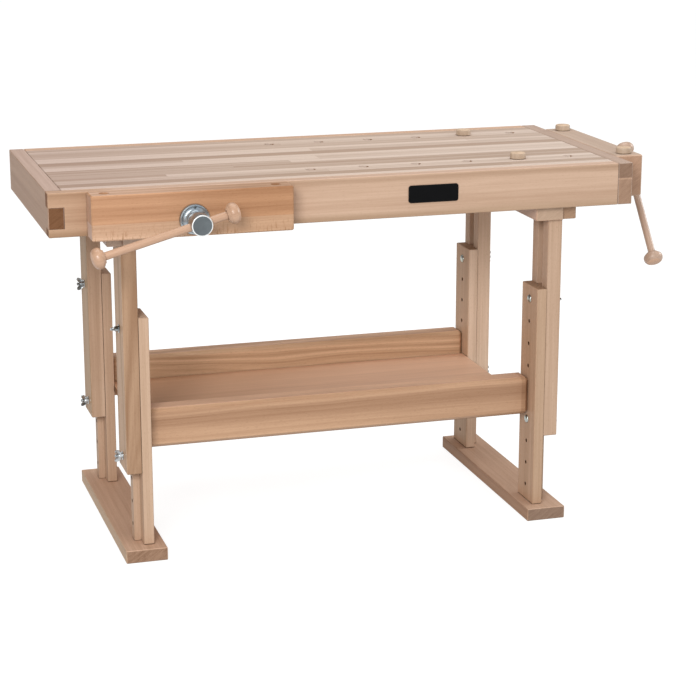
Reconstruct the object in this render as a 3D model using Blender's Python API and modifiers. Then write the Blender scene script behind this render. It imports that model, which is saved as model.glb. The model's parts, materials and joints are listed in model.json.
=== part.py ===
"""Height-adjustable joiner's bench in beech, with a front vise and an end vise. Metres, +Z up.

Bench frame: X along the top from its middle, Y from front (-) to back (+), Z from the floor.
The top is drawn at its highest setting, with both vises closed.
"""

import math

import bmesh
import bpy
from mathutils import Matrix, Vector

# Fits
CONTACT = 0.0003            # between two faces that touch
RUNNING = 0.0003            # around a shaft in its hole, and in the sliding groove

# Top
TOP_LENGTH = 1.400
TOP_DEPTH = 0.626
TOP_HEIGHT = 0.882          # highest setting
SLAB_THICK = 0.036
APRON_HEIGHT = 0.100
APRON_THICK = 0.032
END_THICK = 0.036
FINGER_DROP = 0.033         # from the top face down to the left end cap's finger
FINGER_HEIGHT = 0.048
BOARD_EDGE = 0.0015         # chamfer on every board
PLATE_LENGTH = 0.122
PLATE_HEIGHT = 0.041
PLATE_THICK = 0.0015
PLATE_CORNER = 0.006        # corner's round
PLATE_RIGHT = 0.196         # plate's middle, right of the bench's middle
PLATE_DROP = 0.047          # plate's middle, below the top face

# Trestles
SLIDE_INSET = 0.200         # each trestle's sliding face from the top's end
POST_WIDTH = 0.098
POST_SPACING = 0.475        # front post to back post, middle to middle
POST_SHIFT = 0.005          # both posts, behind the bench's middle
LOWER_THICK = 0.024
UPPER_THICK = 0.0355
TONGUE_DEPTH = 0.017
TONGUE_WIDTH = 0.030
FOOT_OVERHANG = 0.0265      # foot past the posts, were they not shifted
FOOT_WIDTH = 0.098
FOOT_HEIGHT = 0.031
RAIL_HEIGHT = 0.033
RAIL_OVERHANG = 0.0065      # head rail past the posts, were they not shifted
RAIL_INNER = 0.036          # rail's reach inwards from the sliding face
RAIL_OUTER = 0.032          # rail's reach outwards from the sliding face
BATTEN_WIDTH = 0.036        # outer strip of the rail, a little shorter than the rest
BATTEN_SETBACK = 0.008

# Height setting
HOLE_PITCH = 0.0565
SETTINGS = 4
FOOT_STOP = 0.006           # upper post above the foot at the lowest setting
RAIL_STOP = 0.001           # head rail above the lower post at the lowest setting
BOLT_EDGE = 0.033           # bolt from the end of the post that it is nearest to
BOLT_DIA = 0.008
BOLT_HEAD_DIA = 0.020
BOLT_HEAD_HEIGHT = 0.005
BOLT_TIP = 0.0012           # chamfer on the threaded end
BOLT_TAIL = 0.020           # threaded end that stands out of the upper post
NUT_HUB_DIA = 0.015
NUT_HUB_HEIGHT = 0.011
NUT_HUB_TAPER = 0.0015      # hub's top, in from its foot
WING_SPAN = 0.032
WING_LENGTH = 0.019
WING_WIDTH = 0.011
WING_THICK = 0.003
WING_RISE = 0.011           # wing's middle, above the nut's seat
WING_LEAN = 37.0            # degrees, wing out from the bolt's axis
NUT_TURN = {"front_upper": 15.0, "front_lower": 70.0, "back_upper": 90.0, "back_lower": 80.0}

# Stretchers and shelf
STRETCHER_HEIGHT = 0.094
STRETCHER_THICK = 0.058
STRETCHER_RISE = 0.0045     # above the lower bolt's head
STRETCHER_EDGE = 0.008
SHELF_THICK = 0.018
SHELF_DROP = 0.061          # shelf's face below the stretchers' top
CLEAT_WIDTH = 0.020
CLEAT_HEIGHT = 0.014

# Vises
JAW_HEIGHT = 0.102
JAW_EDGE = 0.003
FRONT_JAW_LENGTH = 0.458
FRONT_JAW_THICK = 0.060
FRONT_JAW_INSET = 0.086     # jaw's left end from the bench's left end
END_JAW_LENGTH = 0.451
END_JAW_THICK = 0.072
END_SHIFT = 0.0125          # end vise and dog rows, behind the bench's middle
JAW_TRAVEL = 0.150          # how far each vise opens
SCREW_DROP = 0.063          # screw's axis below the top face
SCREW_DIA = 0.026
SCREW_TAIL = 0.064          # screw behind its nut with the vise open
GUIDE_DIA = 0.020
GUIDE_SPREAD = 0.120        # guide rod from the screw's axis
GUIDE_TAIL = 0.084          # guide rod behind the bench's wall with the vise open
GUIDE_SOCKET = 0.040        # guide rod inside the jaw
GUIDE_EDGE = 0.002
NUT_LENGTH = 0.040
NUT_WIDTH = 0.070
NUT_FLOOR = 0.010           # wood under the screw
FLANGE_DIA = 0.069
FLANGE_THICK = 0.007
FLANGE_HUB_DIA = 0.042
FLANGE_HUB = 0.016          # hub's height, with the flange
FLANGE_HUB_TAPER = 0.002    # hub's top, in from its foot
FLANGE_EDGE = 0.002         # chamfer around the disc
HEAD_DIA = 0.048
HEAD_LENGTH = 0.044
HEAD_EDGE = 0.0024
NECK_DIA = 0.034            # between the head and the flange
FRONT_BAR_REACH = 0.060     # handle's axis in front of the jaw's face
END_BAR_REACH = 0.068
BAR_DIA = 0.018
BAR_SPAN = 0.311            # knob to knob, middle to middle
KNOB_DIA = 0.048
KNOB_LENGTH = 0.032
KNOB_CUT = 55.0             # degrees below the knob's widest line, where its flat face begins
KNOB_SOCKET = 0.018
FRONT_BAR_GAP = 0.039       # loose knob's face from the side of the screw's head
END_BAR_GAP = 0.005
FRONT_BAR_TURN = 15.4       # degrees, handle up from level
END_BAR_TURN = 52.0

# Dogs
DOG_HOLE_DIA = 0.024
DOG_PITCH = 0.130
DOGS_PER_ROW = 6
DOG_LAST_INSET = 0.112      # last hole from the right end
DOG_FILLED = 1              # hole with the dog, counted from the last
DOG_HEAD_DIA = 0.038
DOG_HEAD_HEIGHT = 0.015
DOG_EDGE = 0.003
DOG_LENGTH = 0.070
JAW_HOLE_INSET = 0.034      # each jaw's dog holes from its ends

ROUND = 28                  # sides of a large round piece
SMALL_ROUND = 16            # sides of a bolt
ARC_STEPS = 5               # faces of a quarter round

# Places worked out from the sizes above
HALF_LENGTH = TOP_LENGTH / 2
HALF_DEPTH = TOP_DEPTH / 2
SLIDE_X = HALF_LENGTH - SLIDE_INSET
TRAVEL = HOLE_PITCH * (SETTINGS - 1)
APRON_BOTTOM = TOP_HEIGHT - APRON_HEIGHT
RAIL_TOP = APRON_BOTTOM - CONTACT
RAIL_BOTTOM = RAIL_TOP - RAIL_HEIGHT
UPPER_TOP = RAIL_BOTTOM - CONTACT
UPPER_BOTTOM = FOOT_HEIGHT + FOOT_STOP + TRAVEL
LOWER_BOTTOM = FOOT_HEIGHT + CONTACT
LOWER_TOP = RAIL_BOTTOM - RAIL_STOP - TRAVEL
BOLT_LOW = UPPER_BOTTOM + BOLT_EDGE
BOLT_HIGH = LOWER_TOP - BOLT_EDGE
POSTS_DEPTH = POST_SPACING + POST_WIDTH
FOOT_LENGTH = POSTS_DEPTH + 2 * FOOT_OVERHANG
RAIL_LENGTH = POSTS_DEPTH + 2 * RAIL_OVERHANG
INNER_X = SLIDE_X - LOWER_THICK
TONGUE_X = SLIDE_X + TONGUE_DEPTH
UPPER_X = SLIDE_X + RUNNING
GROOVE_X = TONGUE_X + RUNNING
OUTER_X = UPPER_X + UPPER_THICK
STRETCHER_BOTTOM = BOLT_LOW + BOLT_HEAD_DIA / 2 + STRETCHER_RISE
STRETCHER_TOP = STRETCHER_BOTTOM + STRETCHER_HEIGHT
STRETCHER_HALF = INNER_X - CONTACT
SHELF_TOP = STRETCHER_TOP - SHELF_DROP
SCREW_Z = TOP_HEIGHT - SCREW_DROP
FRONT_SCREW_X = -HALF_LENGTH + FRONT_JAW_INSET + FRONT_JAW_LENGTH / 2
DOG_ROW_SPREAD = END_JAW_LENGTH / 2 - JAW_HOLE_INSET
DOG_ROWS = {"front": END_SHIFT - DOG_ROW_SPREAD, "back": END_SHIFT + DOG_ROW_SPREAD}
DOG_X = [HALF_LENGTH - DOG_LAST_INSET - i * DOG_PITCH for i in range(DOGS_PER_ROW)]
SIDES = {"left": -1, "right": 1}
POST_Y = {"front": POST_SHIFT - POST_SPACING / 2, "back": POST_SHIFT + POST_SPACING / 2}
BOLT_Z = {"upper": BOLT_HIGH, "lower": BOLT_LOW}
FRONT_REACH = -HALF_DEPTH - CONTACT - FRONT_JAW_THICK - FRONT_BAR_REACH - KNOB_DIA / 2
RIGHT_REACH = HALF_LENGTH + CONTACT + END_JAW_THICK + END_BAR_REACH + KNOB_DIA / 2
MIDDLE = Vector(((RIGHT_REACH - HALF_LENGTH) / 2, (HALF_DEPTH + FRONT_REACH) / 2, 0))

AXIS_X = Matrix.Rotation(math.radians(90), 4, "Y")
AXIS_Y = Matrix.Rotation(math.radians(-90), 4, "X")
AXIS_Z = Matrix.Identity(4)


def clear_scene():
    for obj in list(bpy.data.objects):
        bpy.data.objects.remove(obj, do_unlink=True)


def make_collection(name):
    collection = bpy.data.collections.new(name)
    bpy.context.scene.collection.children.link(collection)
    return collection


clear_scene()
PARTS = make_collection("joiners_bench")
CUTTERS = make_collection("cutters")


def make_material(name, colour, roughness, metallic=0.0):
    material = bpy.data.materials.new(name)
    material.use_nodes = True
    shader = material.node_tree.nodes["Principled BSDF"]
    shader.inputs["Base Color"].default_value = (*colour, 1.0)
    shader.inputs["Roughness"].default_value = roughness
    shader.inputs["Metallic"].default_value = metallic
    return material


BEECH_TOP = make_material("beech_top", (0.60, 0.46, 0.36), 0.45)
BEECH_APRON = make_material("beech_apron", (0.63, 0.44, 0.30), 0.45)
BEECH_JAW = make_material("beech_jaw", (0.60, 0.37, 0.21), 0.45)
BEECH_LEG = make_material("beech_leg", (0.52, 0.36, 0.25), 0.5)
BEECH_TURNED = make_material("beech_turned", (0.62, 0.42, 0.28), 0.4)
ZINC = make_material("zinc_steel", (0.45, 0.48, 0.50), 0.35, 1.0)
BLACK = make_material("black_plate", (0.02, 0.02, 0.02), 0.4)


def make_empty(name, parent, location):
    empty = bpy.data.objects.new(name, None)
    empty.location = location
    empty.parent = parent
    PARTS.objects.link(empty)
    return empty


def make_object(name, bm, material, parent, location=(0, 0, 0), smooth=False):
    """An object from a bmesh, with its origin at a place in its parent's frame."""
    mesh = bpy.data.meshes.new(name)
    bm.to_mesh(mesh)
    bm.free()
    mesh.materials.append(material)
    if smooth:
        mesh.shade_smooth()
    else:
        mesh.shade_flat()
    obj = bpy.data.objects.new(name, mesh)
    obj.location = location
    obj.parent = parent
    PARTS.objects.link(obj)
    return obj


def span_box(bm, low, high):
    """A box between two corners, added to a bmesh."""
    low = Vector(low)
    high = Vector(high)
    size = Matrix.Diagonal((*(high - low), 1))
    bmesh.ops.create_cube(bm, size=1, matrix=Matrix.Translation((low + high) / 2) @ size)


def rod(bm, radius, length, matrix, sides=ROUND):
    """A cylinder along the matrix's Z, added to a bmesh."""
    bmesh.ops.create_cone(
        bm, cap_ends=True, segments=sides, radius1=radius, radius2=radius, depth=length, matrix=matrix)


def board(name, low, high, material, parent, edge=BOARD_EDGE):
    """A board between two corners of the bench frame, with chamfered edges."""
    middle = (Vector(low) + Vector(high)) / 2
    bm = bmesh.new()
    span_box(bm, Vector(low) - middle, Vector(high) - middle)
    obj = make_object(name, bm, material, parent, middle - parent_place(parent))
    add_bevel(obj, edge)
    return obj


def corners_of(one, other):
    """The low and the high corner of the box between two opposite corners."""
    return Vector(map(min, one, other)), Vector(map(max, one, other))


def parent_place(parent):
    """A body empty's place in the bench frame."""
    place = Vector((0, 0, 0))
    while parent is not BENCH:
        place += parent.location
        parent = parent.parent
    return place


def add_bevel(obj, width, segments=1):
    bevel = obj.modifiers.new("edges", "BEVEL")
    bevel.width = width
    bevel.segments = segments
    bevel.limit_method = "ANGLE"


def cut(obj, bm, parent=None):
    """Takes the bmesh, drawn in the bench frame or in a parent's, out of the object."""
    mesh = bpy.data.meshes.new(obj.name + "_cutter")
    bm.to_mesh(mesh)
    bm.free()
    cutter = bpy.data.objects.new(mesh.name, mesh)
    cutter.parent = parent or BENCH
    cutter.hide_render = True
    cutter.display_type = "WIRE"
    CUTTERS.objects.link(cutter)
    boolean = obj.modifiers.new("cut", "BOOLEAN")
    boolean.operation = "DIFFERENCE"
    boolean.solver = "EXACT"
    boolean.object = cutter


def cut_holes(obj, radius, length, axis, places, sides=ROUND):
    """Round holes along one axis, each through its place in the bench frame."""
    bm = bmesh.new()
    for place in places:
        rod(bm, radius, length, Matrix.Translation(place) @ axis, sides)
    cut(obj, bm)


def turned(name, profile, material, parent, location=(0, 0, 0), axis=AXIS_Z, sides=ROUND):
    """A piece turned around its own Z from (radius, height) points that run from top to bottom."""
    bm = bmesh.new()
    points = [bm.verts.new((radius, 0, height)) for radius, height in profile]
    for above, below in zip(points, points[1:]):
        bm.edges.new((above, below))
    obj = make_object(name, bm, material, parent, location, smooth=True)
    obj.rotation_euler = axis.to_euler()
    screw = obj.modifiers.new("turn", "SCREW")
    screw.steps = sides
    screw.render_steps = sides
    screw.use_merge_vertices = True
    screw.merge_threshold = 0.00005
    return obj


def arc(width, height, start, end, steps):
    """Points of an elliptic arc around (0, 0), angles in degrees."""
    angles = [math.radians(start + (end - start) * i / steps) for i in range(steps + 1)]
    return [(width * math.cos(angle), height * math.sin(angle)) for angle in angles]


# Bodies: the trestles' lower half stands on the floor, and everything else rides on the top
BENCH = make_empty("bench_origin", None, -MIDDLE)
BASE = make_empty("base", BENCH, (0, 0, 0))
TOP = make_empty("top", BENCH, (0, 0, 0))


def make_top():
    inner_x = HALF_LENGTH - END_THICK - CONTACT
    inner_y = HALF_DEPTH - APRON_THICK - CONTACT
    slab = board("top_slab", (-inner_x, -inner_y, TOP_HEIGHT - SLAB_THICK),
                 (inner_x, inner_y, TOP_HEIGHT), BEECH_TOP, TOP)
    places = [(x, y, TOP_HEIGHT) for x in DOG_X for y in DOG_ROWS.values()]
    cut_holes(slab, DOG_HOLE_DIA / 2, 3 * SLAB_THICK, AXIS_Z, places)

    apron = board("front_apron", (-HALF_LENGTH, -HALF_DEPTH, APRON_BOTTOM),
                  (inner_x, -HALF_DEPTH + APRON_THICK, TOP_HEIGHT), BEECH_APRON, TOP)
    finger_top = TOP_HEIGHT - FINGER_DROP
    finger_bottom = finger_top - FINGER_HEIGHT
    slot = bmesh.new()
    span_box(slot, (-HALF_LENGTH - END_THICK, -HALF_DEPTH - APRON_THICK, finger_bottom),
             (-inner_x, -HALF_DEPTH + 2 * APRON_THICK, finger_top))
    cut(apron, slot)
    cut_vise_holes(apron, Vector((FRONT_SCREW_X, -HALF_DEPTH, SCREW_Z)), AXIS_Y, Vector((1, 0, 0)))

    board("back_rail", (-inner_x, HALF_DEPTH - APRON_THICK, APRON_BOTTOM),
          (inner_x, HALF_DEPTH, TOP_HEIGHT), BEECH_APRON, TOP)

    left = board("left_end_cap", (-HALF_LENGTH, -HALF_DEPTH, APRON_BOTTOM),
                 (-HALF_LENGTH + END_THICK, HALF_DEPTH, TOP_HEIGHT), BEECH_APRON, TOP)
    sockets = bmesh.new()
    socket_back = -HALF_DEPTH + APRON_THICK + CONTACT
    for low, high in ((finger_top - CONTACT, TOP_HEIGHT + SLAB_THICK),
                      (APRON_BOTTOM - SLAB_THICK, finger_bottom + CONTACT)):
        span_box(sockets, (-HALF_LENGTH - END_THICK, -HALF_DEPTH - APRON_THICK, low),
                 (-HALF_LENGTH + 2 * END_THICK, socket_back, high))
    cut(left, sockets)

    right = board("right_end_cap", (HALF_LENGTH - END_THICK, -HALF_DEPTH, APRON_BOTTOM),
                  (HALF_LENGTH, HALF_DEPTH, TOP_HEIGHT), BEECH_APRON, TOP)
    cut_vise_holes(right, Vector((HALF_LENGTH, END_SHIFT, SCREW_Z)), AXIS_X, Vector((0, 1, 0)))
    make_name_plate()


def cut_vise_holes(piece, place, axis, across):
    """Holes for a vise's screw and its two guide rods, through a piece at the bench's face."""
    length = 4 * max(APRON_THICK, END_THICK)
    cut_holes(piece, SCREW_DIA / 2 + RUNNING, length, axis, [place])
    guides = [place + across * side * GUIDE_SPREAD for side in (-1, 1)]
    cut_holes(piece, GUIDE_DIA / 2 + RUNNING, length, axis, guides)


def make_name_plate():
    """A blank plate with round corners on the front apron."""
    bm = bmesh.new()
    half = Vector((PLATE_LENGTH / 2, PLATE_THICK / 2, PLATE_HEIGHT / 2))
    span_box(bm, -half, half)
    corners = [edge for edge in bm.edges if edge.verts[0].co.y != edge.verts[1].co.y]
    bmesh.ops.bevel(bm, geom=corners, offset=PLATE_CORNER, segments=ARC_STEPS, affect="EDGES", profile=0.5)
    place = (PLATE_RIGHT, -HALF_DEPTH - CONTACT - PLATE_THICK / 2, TOP_HEIGHT - PLATE_DROP)
    make_object("name_plate", bm, BLACK, TOP, place)


def make_trestle(side_name):
    side = SIDES[side_name]

    def across(inner, outer):
        """The lower and the upper X of a stretch measured outwards from the bench's middle."""
        return min(side * inner, side * outer), max(side * inner, side * outer)

    foot_low, foot_high = across(SLIDE_X - FOOT_WIDTH / 2, SLIDE_X + FOOT_WIDTH / 2)
    board(side_name + "_foot", (foot_low, -FOOT_LENGTH / 2, 0), (foot_high, FOOT_LENGTH / 2, FOOT_HEIGHT),
          BEECH_LEG, BASE)

    rail_low, rail_high = across(SLIDE_X - RAIL_INNER, SLIDE_X + RAIL_OUTER + BATTEN_WIDTH)
    rail = board(side_name + "_head_rail", (rail_low, -RAIL_LENGTH / 2, RAIL_BOTTOM),
                 (rail_high, RAIL_LENGTH / 2, RAIL_TOP), BEECH_LEG, TOP)
    step = bmesh.new()
    step_low, step_high = across(SLIDE_X + RAIL_OUTER, SLIDE_X + RAIL_OUTER + 2 * BATTEN_WIDTH)
    batten_end = RAIL_LENGTH / 2 - BATTEN_SETBACK
    past_end = RAIL_LENGTH / 2 + BATTEN_SETBACK
    for near, far in ((-past_end, -batten_end), (batten_end, past_end)):
        span_box(step, (step_low, near, RAIL_BOTTOM - RAIL_HEIGHT), (step_high, far, RAIL_TOP + RAIL_HEIGHT))
    cut(rail, step)

    for post_name, y in POST_Y.items():
        make_posts(f"{side_name}_{post_name}", y, across)
        for bolt_name, z in BOLT_Z.items():
            turn = NUT_TURN[f"{post_name}_{bolt_name}"]
            make_bolt(f"{side_name}_{post_name}_{bolt_name}", side, y, z, turn)


def make_posts(name, y, across):
    """A tongued lower post on the foot, and the grooved upper post that slides on it."""
    lower_low, lower_high = across(INNER_X, TONGUE_X)
    lower = board(name + "_lower_post", (lower_low, y - POST_WIDTH / 2, LOWER_BOTTOM),
                  (lower_high, y + POST_WIDTH / 2, LOWER_TOP), BEECH_LEG, BASE)
    rebates = bmesh.new()
    rebate_low, rebate_high = across(SLIDE_X, SLIDE_X + 2 * TONGUE_DEPTH)
    for near, far in ((y - POST_WIDTH, y - TONGUE_WIDTH / 2), (y + TONGUE_WIDTH / 2, y + POST_WIDTH)):
        span_box(rebates, (rebate_low, near, LOWER_BOTTOM - POST_WIDTH),
                 (rebate_high, far, LOWER_TOP + POST_WIDTH))
    cut(lower, rebates)
    hole = BOLT_DIA / 2 + RUNNING
    settings = [z - i * HOLE_PITCH for z in BOLT_Z.values() for i in range(SETTINGS)]
    middle_x = sum(across(INNER_X, TONGUE_X)) / 2
    lower_places = [(middle_x, y, z) for z in settings]
    cut_holes(lower, hole, 4 * (LOWER_THICK + TONGUE_DEPTH), AXIS_X, lower_places, SMALL_ROUND)

    upper_low, upper_high = across(UPPER_X, OUTER_X)
    upper = board(name + "_upper_post", (upper_low, y - POST_WIDTH / 2, UPPER_BOTTOM),
                  (upper_high, y + POST_WIDTH / 2, UPPER_TOP), BEECH_LEG, TOP)
    groove = bmesh.new()
    groove_low, groove_high = across(UPPER_X - TONGUE_DEPTH, GROOVE_X)
    groove_half = TONGUE_WIDTH / 2 + RUNNING
    span_box(groove, (groove_low, y - groove_half, UPPER_BOTTOM - POST_WIDTH),
             (groove_high, y + groove_half, UPPER_TOP + POST_WIDTH))
    cut(upper, groove)
    upper_places = [(upper_low, y, z) for z in BOLT_Z.values()]
    cut_holes(upper, hole, 4 * UPPER_THICK, AXIS_X, upper_places, SMALL_ROUND)


def make_bolt(name, side, y, z, turn):
    """A carriage bolt, parted where the posts slide: its head's half, and its threaded half with the nut.

    The nut's wings stand at an angle in degrees from level.
    """
    outwards = Matrix.Rotation(math.radians(90 * side), 4, "Y")
    inner = side * (INNER_X - CONTACT)
    shank = TONGUE_X - INNER_X + CONTACT
    head = arc(BOLT_HEAD_DIA / 2, -BOLT_HEAD_HEIGHT, 0, 90, ARC_STEPS)
    head[-1] = (0, -BOLT_HEAD_HEIGHT)
    profile = [(0, shank), (BOLT_DIA / 2, shank), (BOLT_DIA / 2, 0)] + head
    turned(name + "_bolt", profile, ZINC, BASE, (inner, y, z), outwards, SMALL_ROUND)

    axis = make_empty(name + "_nut_axis", TOP, (side * OUTER_X, y, z))
    axis.rotation_euler = (outwards @ Matrix.Rotation(math.radians(turn), 4, "Z")).to_euler()
    nut = turned(name + "_wing_nut", nut_profile(), ZINC, axis, sides=SMALL_ROUND)
    for wing in (-1, 1):
        join_wing(nut, axis, wing)


def nut_profile():
    """Threaded end, nut hub and the bolt's last stretch through the upper post, around the nut's axis."""
    bolt = BOLT_DIA / 2
    hub = NUT_HUB_DIA / 2
    seat = CONTACT
    top = seat + NUT_HUB_HEIGHT
    tip = -UPPER_THICK + TONGUE_DEPTH + RUNNING
    return [(0, BOLT_TAIL), (bolt - BOLT_TIP, BOLT_TAIL), (bolt, BOLT_TAIL - BOLT_TIP), (bolt, top),
            (hub - NUT_HUB_TAPER, top), (hub, seat), (bolt, seat), (bolt, tip), (0, tip)]


def join_wing(nut, axis, wing):
    """One oval wing of a wing nut, leaning outwards, joined to its hub."""
    bm = bmesh.new()
    lean = math.radians(WING_LEAN)
    reach = math.hypot(WING_LENGTH / 2 * math.sin(lean), WING_WIDTH / 2 * math.cos(lean))
    place = Matrix.Translation((0, wing * (WING_SPAN / 2 - reach), WING_RISE + CONTACT))
    oval = Matrix.Diagonal((1, WING_WIDTH / WING_LENGTH, 1, 1))
    leaning = place @ Matrix.Rotation(-wing * lean, 4, "X") @ oval
    rod(bm, WING_LENGTH / 2, WING_THICK, leaning @ AXIS_X, SMALL_ROUND)
    mesh = bpy.data.meshes.new(nut.name + "_wing")
    bm.to_mesh(mesh)
    bm.free()
    helper = bpy.data.objects.new(mesh.name, mesh)
    helper.parent = axis
    helper.hide_render = True
    helper.display_type = "WIRE"
    CUTTERS.objects.link(helper)
    union = nut.modifiers.new("wing", "BOOLEAN")
    union.operation = "UNION"
    union.solver = "EXACT"
    union.object = helper


def make_shelf():
    """Two stretchers flush with the posts' back faces, and the shelf on cleats between them."""
    backs = {name: y + POST_WIDTH / 2 for name, y in POST_Y.items()}
    for name, back in backs.items():
        board(name + "_stretcher", (-STRETCHER_HALF, back - STRETCHER_THICK, STRETCHER_BOTTOM),
              (STRETCHER_HALF, back, STRETCHER_TOP), BEECH_LEG, BASE, STRETCHER_EDGE)
    front = backs["front"] + CONTACT
    back = backs["back"] - STRETCHER_THICK - CONTACT
    bottom = SHELF_TOP - SHELF_THICK
    board("shelf", (-STRETCHER_HALF, front, bottom), (STRETCHER_HALF, back, SHELF_TOP), BEECH_TOP, BASE)
    cleat_top = bottom - CONTACT
    for name, low in (("front", front), ("back", back - CLEAT_WIDTH)):
        board(name + "_shelf_cleat", (-STRETCHER_HALF, low, cleat_top - CLEAT_HEIGHT),
              (STRETCHER_HALF, low + CLEAT_WIDTH, cleat_top), BEECH_LEG, BASE)


def make_vise(name, outwards, across, place, wall, jaw_size, bar_place):
    """A vise on a wall of the bench. The place is where the screw's axis meets the wall's face."""
    jaw_length, jaw_thick = jaw_size
    bar_reach, bar_gap, bar_turn = bar_place
    jaw_back = place + outwards * CONTACT
    jaw_face = jaw_back + outwards * jaw_thick
    axis = outwards.to_track_quat("Z", "Y").to_matrix().to_4x4()
    half_length = jaw_length / 2

    slide = make_empty(name + "_slide", TOP, jaw_back)
    low = jaw_back - across * half_length
    high = jaw_face + across * half_length
    low.z = TOP_HEIGHT - JAW_HEIGHT
    high.z = TOP_HEIGHT
    jaw = board(name + "_jaw", *corners_of(low, high), BEECH_JAW, slide, JAW_EDGE)
    cut_holes(jaw, SCREW_DIA / 2 + RUNNING, 4 * jaw_thick, axis, [place])
    guides = {"left": place - across * GUIDE_SPREAD, "right": place + across * GUIDE_SPREAD}
    depth = GUIDE_SOCKET + CONTACT
    sockets = [at + outwards * CONTACT for at in guides.values()]
    cut_holes(jaw, GUIDE_DIA / 2 + CONTACT, 2 * depth, axis, sockets)
    hole_reach = half_length - JAW_HOLE_INSET
    dog_places = [jaw_back + outwards * jaw_thick / 2 + across * at for at in (-hole_reach, hole_reach)]
    cut_holes(jaw, DOG_HOLE_DIA / 2, 4 * JAW_HEIGHT, AXIS_Z, dog_places)

    for side, at in guides.items():
        turned(f"{name}_{side}_guide", guide_profile(wall), ZINC, slide, at - place, axis)

    make_flange(name, slide, outwards * jaw_thick, axis)
    turn = make_empty(name + "_turn", slide, outwards * jaw_thick)
    turn.rotation_euler = (axis @ Matrix.Rotation(math.radians(bar_turn), 4, "Z")).to_euler()
    make_screw(name, turn, jaw_thick + wall + NUT_LENGTH + JAW_TRAVEL + SCREW_TAIL, bar_reach)
    make_handle(name, turn, bar_reach, bar_gap)
    make_nut(name, place - outwards * wall, outwards, across, axis)


def guide_profile(wall):
    """A guide rod from its end in the jaw to its free end behind the bench's wall."""
    radius = GUIDE_DIA / 2
    end = -wall - JAW_TRAVEL - GUIDE_TAIL
    return [(0, GUIDE_SOCKET), (radius, GUIDE_SOCKET), (radius, end + GUIDE_EDGE), (radius - GUIDE_EDGE, end),
            (0, end)]


def make_flange(name, parent, place, axis):
    bore = SCREW_DIA / 2 + RUNNING
    top = CONTACT + FLANGE_HUB
    step = CONTACT + FLANGE_THICK
    hub = FLANGE_HUB_DIA / 2
    rim = FLANGE_DIA / 2
    profile = [(bore, top), (hub - FLANGE_HUB_TAPER, top), (hub, step), (rim - FLANGE_EDGE, step),
               (rim, step - FLANGE_EDGE), (rim, CONTACT), (bore, CONTACT), (bore, top)]
    turned(name + "_flange", profile, ZINC, parent, place, axis)


def make_screw(name, turn, length, bar_reach):
    """Cross-bored head in front of the flange, and the screw through jaw, bench and nut."""
    face = bar_reach + HEAD_LENGTH / 2
    shoulder = bar_reach - HEAD_LENGTH / 2
    seat = FLANGE_HUB + 2 * CONTACT
    radius = HEAD_DIA / 2
    neck = NECK_DIA / 2
    thread = SCREW_DIA / 2
    head = [(0, face), (radius - HEAD_EDGE, face), (radius, face - HEAD_EDGE),
            (radius, shoulder + HEAD_EDGE), (radius - HEAD_EDGE, shoulder)]
    shaft = [(neck, (shoulder + seat) / 2), (neck, seat), (thread, seat), (thread, HEAD_EDGE - length),
             (thread - HEAD_EDGE, -length), (0, -length)]
    screw = turned(name + "_screw", head + shaft, ZINC, turn)
    bore = bmesh.new()
    rod(bore, BAR_DIA / 2 + RUNNING, 2 * HEAD_DIA, Matrix.Translation((0, 0, bar_reach)) @ AXIS_X)
    cut(screw, bore, turn)


def knob_points(inner):
    """A turned knob's outline, from its round end down to the face at the bar, at a given bar radius."""
    half = KNOB_LENGTH / 2
    crown = arc(KNOB_DIA / 2, half, 90, 0, ARC_STEPS)
    crown[0] = (0, half)
    base = arc(KNOB_DIA / 2, half, 0, -KNOB_CUT, ARC_STEPS)
    return crown + base[1:] + [(inner, base[-1][1])]


def make_handle(name, turn, bar_reach, bar_gap):
    """A wooden bar with a turned knob, slid through the screw's head, and its loose end knob."""
    slide = make_empty(name + "_bar", turn, (0, 0, bar_reach))
    slide.rotation_euler = AXIS_X.to_euler()
    loose = knob_points(BAR_DIA / 2 + CONTACT)
    knob_face = loose[-1][1]
    bar_slide = HEAD_DIA / 2 + bar_gap - knob_face
    socket = knob_face + KNOB_SOCKET
    hole = [(BAR_DIA / 2 + CONTACT, socket), (0, socket)]
    turned(name + "_end_knob", loose + hole, BEECH_TURNED, slide, (0, 0, bar_slide))
    fixed = [(radius, -height) for radius, height in knob_points(BAR_DIA / 2)]
    fixed_place = bar_slide - BAR_SPAN
    bar_end = bar_slide + socket - CONTACT
    bar = [(0, bar_end), (BAR_DIA / 2, bar_end)]
    profile = bar + [(radius, fixed_place + height) for radius, height in reversed(fixed)]
    turned(name + "_handle", profile, BEECH_TURNED, slide)


def make_nut(name, place, outwards, across, axis):
    """The nut block under the slab, behind the wall. The place is where the axis leaves the wall."""
    bore = SCREW_DIA / 2 + RUNNING
    near = place - outwards * CONTACT - across * NUT_WIDTH / 2
    far = place - outwards * (CONTACT + NUT_LENGTH) + across * NUT_WIDTH / 2
    near.z = SCREW_Z - bore - NUT_FLOOR
    far.z = TOP_HEIGHT - SLAB_THICK - CONTACT
    nut = board(name + "_nut", *corners_of(near, far), BEECH_LEG, TOP)
    cut_holes(nut, bore, 4 * NUT_LENGTH, axis, [place])


def make_dog(name, parent, place):
    """A bench dog standing in its hole, with its head on the wood."""
    head = DOG_HEAD_DIA / 2
    shank = DOG_HOLE_DIA / 2 - RUNNING
    top = DOG_HEAD_HEIGHT
    profile = [(0, top), (head - DOG_EDGE, top), (head, top - DOG_EDGE), (head, CONTACT), (shank, CONTACT),
               (shank, DOG_EDGE - DOG_LENGTH), (shank - DOG_EDGE, -DOG_LENGTH), (0, -DOG_LENGTH)]
    turned(name, profile, BEECH_TURNED, parent, place)


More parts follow.
